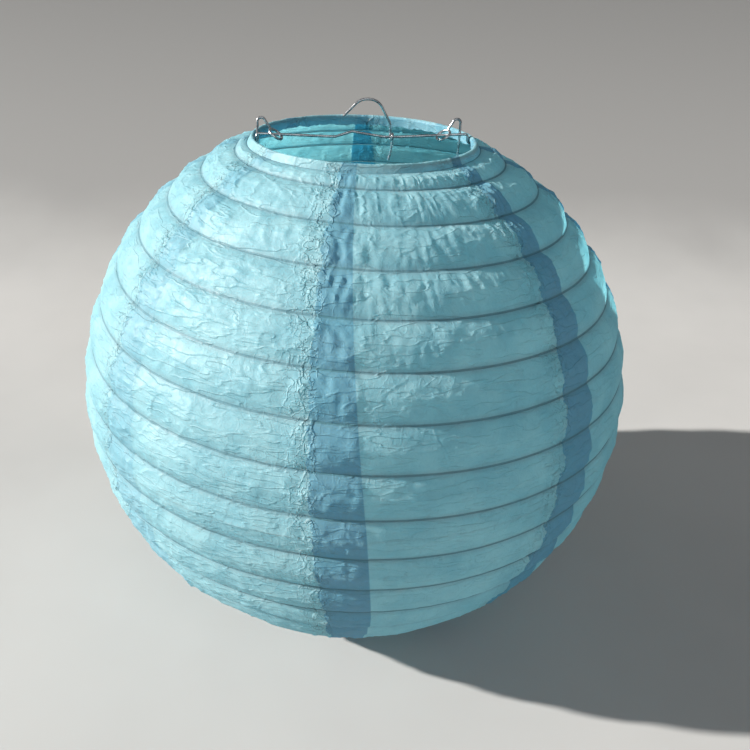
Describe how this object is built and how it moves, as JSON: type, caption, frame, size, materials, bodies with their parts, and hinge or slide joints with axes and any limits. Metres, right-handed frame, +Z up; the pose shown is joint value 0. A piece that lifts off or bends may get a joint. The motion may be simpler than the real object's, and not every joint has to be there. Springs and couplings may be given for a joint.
{
  "type": "paper lantern",
  "caption": "Round accordion paper lantern: pleated paper globe on a spiral wire rib, with end rings, a wire expander frame and a hanging hook; it folds flat.",
  "frame": {"origin": "inside of the hanging hook's crown, where the lantern hangs, on the globe's axis", "axes": "+Z up along the globe's axis, -Y towards the viewer, the crossbar nearly along X"},
  "size_m": [0.3, 0.3, 0.293],
  "materials": {
    "paper": "thin crinkled tissue paper, sky blue, matt",
    "hem_paper": "the same paper folded over in two layers, ragged edge",
    "rib_wire": "thin steel wire glued under the paper",
    "ring_wire": "plain steel wire",
    "frame_wire": "bright drawn steel wire"
  },
  "bodies": {
    "hanger": {"hanger_hook": "frame_wire"},
    "top_frame": {"crossbar": "frame_wire", "top_ring": "ring_wire", "top_hem": "hem_paper"},
    "left_leg": {"left_leg": "frame_wire"},
    "right_leg": {"right_leg": "frame_wire"},
    "fold_01": {"pleat_01": "paper", "rib_turn_01": "rib_wire"},
    "fold_02": {"pleat_02": "paper", "rib_turn_02": "rib_wire"},
    "fold_03": {"pleat_03": "paper", "rib_turn_03": "rib_wire"},
    "fold_04": {"pleat_04": "paper", "rib_turn_04": "rib_wire"},
    "fold_05": {"pleat_05": "paper", "rib_turn_05": "rib_wire"},
    "fold_06": {"pleat_06": "paper", "rib_turn_06": "rib_wire"},
    "fold_07": {"pleat_07": "paper", "rib_turn_07": "rib_wire"},
    "fold_08": {"pleat_08": "paper", "rib_turn_08": "rib_wire"},
    "fold_09": {"pleat_09": "paper", "rib_turn_09": "rib_wire"},
    "fold_10": {"pleat_10": "paper", "rib_turn_10": "rib_wire"},
    "fold_11": {"pleat_11": "paper", "rib_turn_11": "rib_wire"},
    "fold_12": {"pleat_12": "paper", "rib_turn_12": "rib_wire"},
    "fold_13": {"pleat_13": "paper", "rib_turn_13": "rib_wire"},
    "fold_14": {"pleat_14": "paper", "rib_turn_14": "rib_wire"},
    "fold_15": {"pleat_15": "paper", "rib_turn_15": "rib_wire"},
    "bottom_frame": {"pleat_16": "paper", "rib_turn_16": "rib_wire", "bottom_ring": "ring_wire", "bottom_hem": "hem_paper"}
  },
  "joints": [
    {"name": "hanger_swing", "type": "hinge", "parent": "hanger", "child": "top_frame", "pos_m": [0.01423, 0.00223, -0.01775], "axis": [0.988, 0.1547, 0], "range_deg": [-90, 90]},
    {"name": "left_leg_swing", "type": "hinge", "parent": "top_frame", "child": "left_leg", "pos_m": [-0.04416, -0.00692, -0.01662], "axis": [0.988, 0.1547, 0], "range_deg": [-1.5, 1.5]},
    {"name": "right_leg_swing", "type": "hinge", "parent": "top_frame", "child": "right_leg", "pos_m": [0.0409, 0.00641, -0.01678], "axis": [0.988, 0.1547, 0], "range_deg": [-1.5, 1.5]},
    {"name": "collapse_01", "type": "slide", "parent": "top_frame", "child": "fold_01", "axis": [0, 0, 1], "range_m": [0, 0.00679], "deforming": ["pleat_01", "rib_turn_01"]},
    {"name": "collapse_02", "type": "slide", "parent": "fold_01", "child": "fold_02", "axis": [0, 0, 1], "range_m": [0, 0.01073], "deforming": ["pleat_02", "rib_turn_02"]},
    {"name": "collapse_03", "type": "slide", "parent": "fold_02", "child": "fold_03", "axis": [0, 0, 1], "range_m": [0, 0.0132], "deforming": ["pleat_03", "rib_turn_03"]},
    {"name": "collapse_04", "type": "slide", "parent": "fold_03", "child": "fold_04", "axis": [0, 0, 1], "range_m": [0, 0.01535], "deforming": ["pleat_04", "rib_turn_04"]},
    {"name": "collapse_05", "type": "slide", "parent": "fold_04", "child": "fold_05", "axis": [0, 0, 1], "range_m": [0, 0.01713], "deforming": ["pleat_05", "rib_turn_05"]},
    {"name": "collapse_06", "type": "slide", "parent": "fold_05", "child": "fold_06", "axis": [0, 0, 1], "range_m": [0, 0.0185], "deforming": ["pleat_06", "rib_turn_06"]},
    {"name": "collapse_07", "type": "slide", "parent": "fold_06", "child": "fold_07", "axis": [0, 0, 1], "range_m": [0, 0.01943], "deforming": ["pleat_07", "rib_turn_07"]},
    {"name": "collapse_08", "type": "slide", "parent": "fold_07", "child": "fold_08", "axis": [0, 0, 1], "range_m": [0, 0.0199], "deforming": ["pleat_08", "rib_turn_08"]},
    {"name": "collapse_09", "type": "slide", "parent": "fold_08", "child": "fold_09", "axis": [0, 0, 1], "range_m": [0, 0.0199], "deforming": ["pleat_09", "rib_turn_09"]},
    {"name": "collapse_10", "type": "slide", "parent": "fold_09", "child": "fold_10", "axis": [0, 0, 1], "range_m": [0, 0.01943], "deforming": ["pleat_10", "rib_turn_10"]},
    {"name": "collapse_11", "type": "slide", "parent": "fold_10", "child": "fold_11", "axis": [0, 0, 1], "range_m": [0, 0.0185], "deforming": ["pleat_11", "rib_turn_11"]},
    {"name": "collapse_12", "type": "slide", "parent": "fold_11", "child": "fold_12", "axis": [0, 0, 1], "range_m": [0, 0.01713], "deforming": ["pleat_12", "rib_turn_12"]},
    {"name": "collapse_13", "type": "slide", "parent": "fold_12", "child": "fold_13", "axis": [0, 0, 1], "range_m": [0, 0.01535], "deforming": ["pleat_13", "rib_turn_13"]},
    {"name": "collapse_14", "type": "slide", "parent": "fold_13", "child": "fold_14", "axis": [0, 0, 1], "range_m": [0, 0.0132], "deforming": ["pleat_14", "rib_turn_14"]},
    {"name": "collapse_15", "type": "slide", "parent": "fold_14", "child": "fold_15", "axis": [0, 0, 1], "range_m": [0, 0.01073], "deforming": ["pleat_15", "rib_turn_15"]},
    {"name": "collapse_16", "type": "slide", "parent": "fold_15", "child": "bottom_frame", "axis": [0, 0, 1], "range_m": [0, 0.00679], "deforming": ["pleat_16", "rib_turn_16"]}
  ],
  "couplings": [
    {"joint": "collapse_02", "follows": "collapse_01", "ratio": 1.5806},
    {"joint": "collapse_03", "follows": "collapse_01", "ratio": 1.9449},
    {"joint": "collapse_04", "follows": "collapse_01", "ratio": 2.2615},
    {"joint": "collapse_05", "follows": "collapse_01", "ratio": 2.5234},
    {"joint": "collapse_06", "follows": "collapse_01", "ratio": 2.7251},
    {"joint": "collapse_07", "follows": "collapse_01", "ratio": 2.8621},
    {"joint": "collapse_08", "follows": "collapse_01", "ratio": 2.9313},
    {"joint": "collapse_09", "follows": "collapse_01", "ratio": 2.9313},
    {"joint": "collapse_10", "follows": "collapse_01", "ratio": 2.8621},
    {"joint": "collapse_11", "follows": "collapse_01", "ratio": 2.7251},
    {"joint": "collapse_12", "follows": "collapse_01", "ratio": 2.5234},
    {"joint": "collapse_13", "follows": "collapse_01", "ratio": 2.2615},
    {"joint": "collapse_14", "follows": "collapse_01", "ratio": 1.9449},
    {"joint": "collapse_15", "follows": "collapse_01", "ratio": 1.5806},
    {"joint": "collapse_16", "follows": "collapse_01", "ratio": 1}
  ]
}
